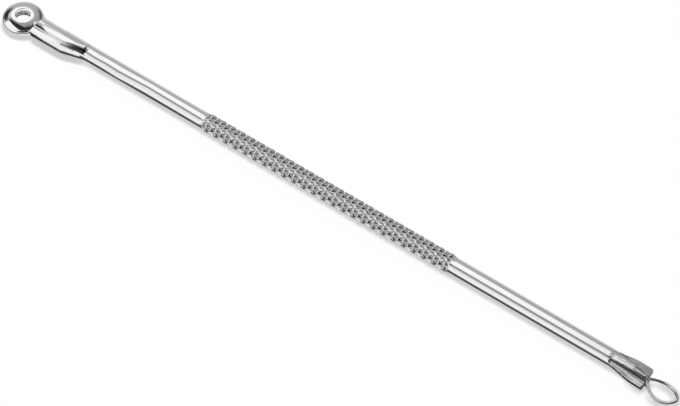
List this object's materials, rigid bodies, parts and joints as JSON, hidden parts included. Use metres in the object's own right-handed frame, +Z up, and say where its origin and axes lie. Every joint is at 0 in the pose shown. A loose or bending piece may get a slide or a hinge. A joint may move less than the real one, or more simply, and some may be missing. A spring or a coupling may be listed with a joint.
{
  "type": "blackhead extractor",
  "caption": "Double-ended steel skin tool: knurled rod handle with a small holed cup at one end and a leaf-shaped wire loop at the other.",
  "frame": {"origin": "on the table under the middle of the tool: the centre of the box it fills, at its lowest point", "axes": "+X along the tool from the cup head to the wire loop, +Y away from the user across the tool, +Z up through the hole of the cup head"},
  "size_m": [0.123, 0.0062, 0.0036],
  "materials": {
    "handle_steel": "polished, with a diamond knurl in the middle",
    "cup_steel": "mirror polished",
    "wire_steel": "bright drawn wire"
  },
  "bodies": {
    "root": {"knurled_handle": "handle_steel", "cup_head": "cup_steel", "wire_loop": "wire_steel"}
  },
  "joints": []
}
